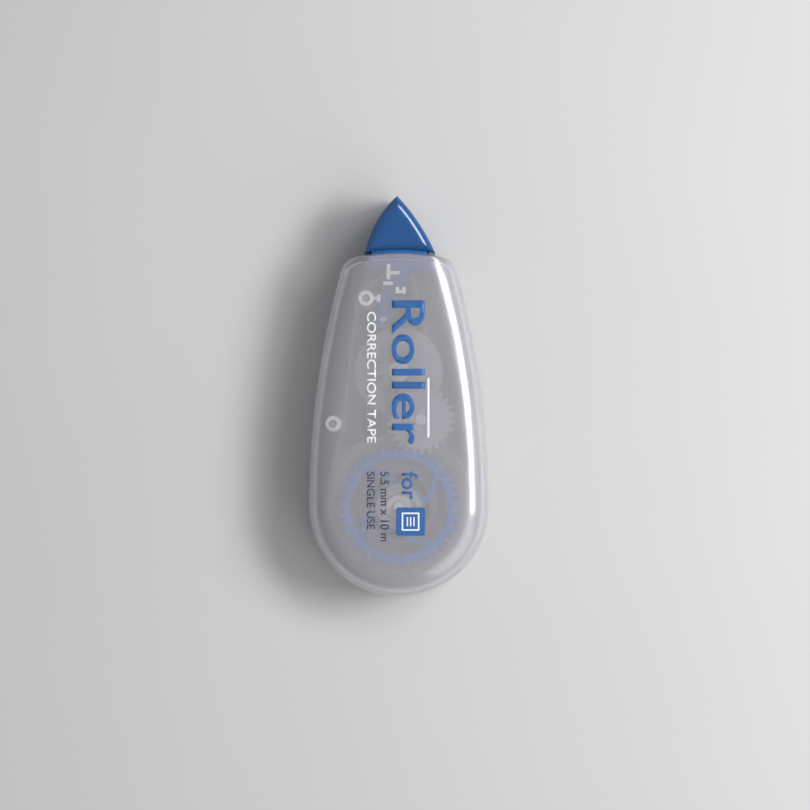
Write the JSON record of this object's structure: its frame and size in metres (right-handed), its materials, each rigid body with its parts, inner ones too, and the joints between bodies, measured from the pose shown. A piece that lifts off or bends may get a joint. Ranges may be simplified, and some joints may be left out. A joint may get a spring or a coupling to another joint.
{
  "type": "correction tape roller",
  "caption": "Pocket correction tape roller: teardrop frosted casing, blue pull-off cap over a steel-edged head, geared supply and take-up reels.",
  "frame": {"origin": "centre of the length and width, on the plane that the rear face rests on", "axes": "+Y along the length to the cap's tip, +Z out of the front face, +X to the right seen from the front"},
  "size_m": [0.036, 0.08, 0.015],
  "materials": {
    "frosted_shell": "frosted translucent, satin",
    "cap_blue": "gloss",
    "head_blue": "satin",
    "gear_blue": "satin",
    "natural_plastic": "satin, slightly translucent",
    "white_plastic": "satin",
    "coated_tape": "dry matte coating on film",
    "used_film": "translucent film",
    "rubber": "matte",
    "steel": "fine brushed"
  },
  "bodies": {
    "casing": {"rear_shell": "frosted_shell", "front_shell": "frosted_shell", "head_holder": "head_blue", "head_tip": "head_blue", "metal_plate": "steel", "carrier_tape": "coated_tape"},
    "supply_reel": {"supply_reel": "natural_plastic", "tape_core": "white_plastic", "tape_roll": "coated_tape", "roll_guard": "natural_plastic"},
    "drive_gear": {"drive_gear": "gear_blue", "clutch_ring": "rubber", "gear_retainer": "white_plastic"},
    "idler_gear": {"idler_gear": "white_plastic"},
    "take_up_reel": {"take_up_reel": "natural_plastic", "take_up_flange": "natural_plastic", "used_tape": "used_film"},
    "cap": {"cap": "cap_blue"}
  },
  "joints": [
    {"name": "supply_spin", "type": "hinge", "parent": "casing", "child": "supply_reel", "pos_m": [0, -0.022, 0.0056], "axis": [0, 0, 1], "continuous": true},
    {"name": "drive_spin", "type": "hinge", "parent": "casing", "child": "drive_gear", "pos_m": [0, -0.022, 0.0105], "axis": [0, 0, 1], "continuous": true},
    {"name": "idler_spin", "type": "hinge", "parent": "casing", "child": "idler_gear", "pos_m": [0.00438, -0.00454, 0.0105], "axis": [0, 0, 1], "continuous": true},
    {"name": "take_up_spin", "type": "hinge", "parent": "casing", "child": "take_up_reel", "pos_m": [0, 0.005, 0.0056], "axis": [0, 0, 1], "continuous": true},
    {"name": "cap_slide", "type": "slide", "parent": "casing", "child": "cap", "axis": [0, 1, 0], "range_m": [0, 0.024]}
  ],
  "couplings": [
    {"joint": "drive_spin", "follows": "supply_spin", "ratio": 1},
    {"joint": "idler_spin", "follows": "supply_spin", "ratio": -1.7692},
    {"joint": "take_up_spin", "follows": "supply_spin", "ratio": 2.875}
  ]
}
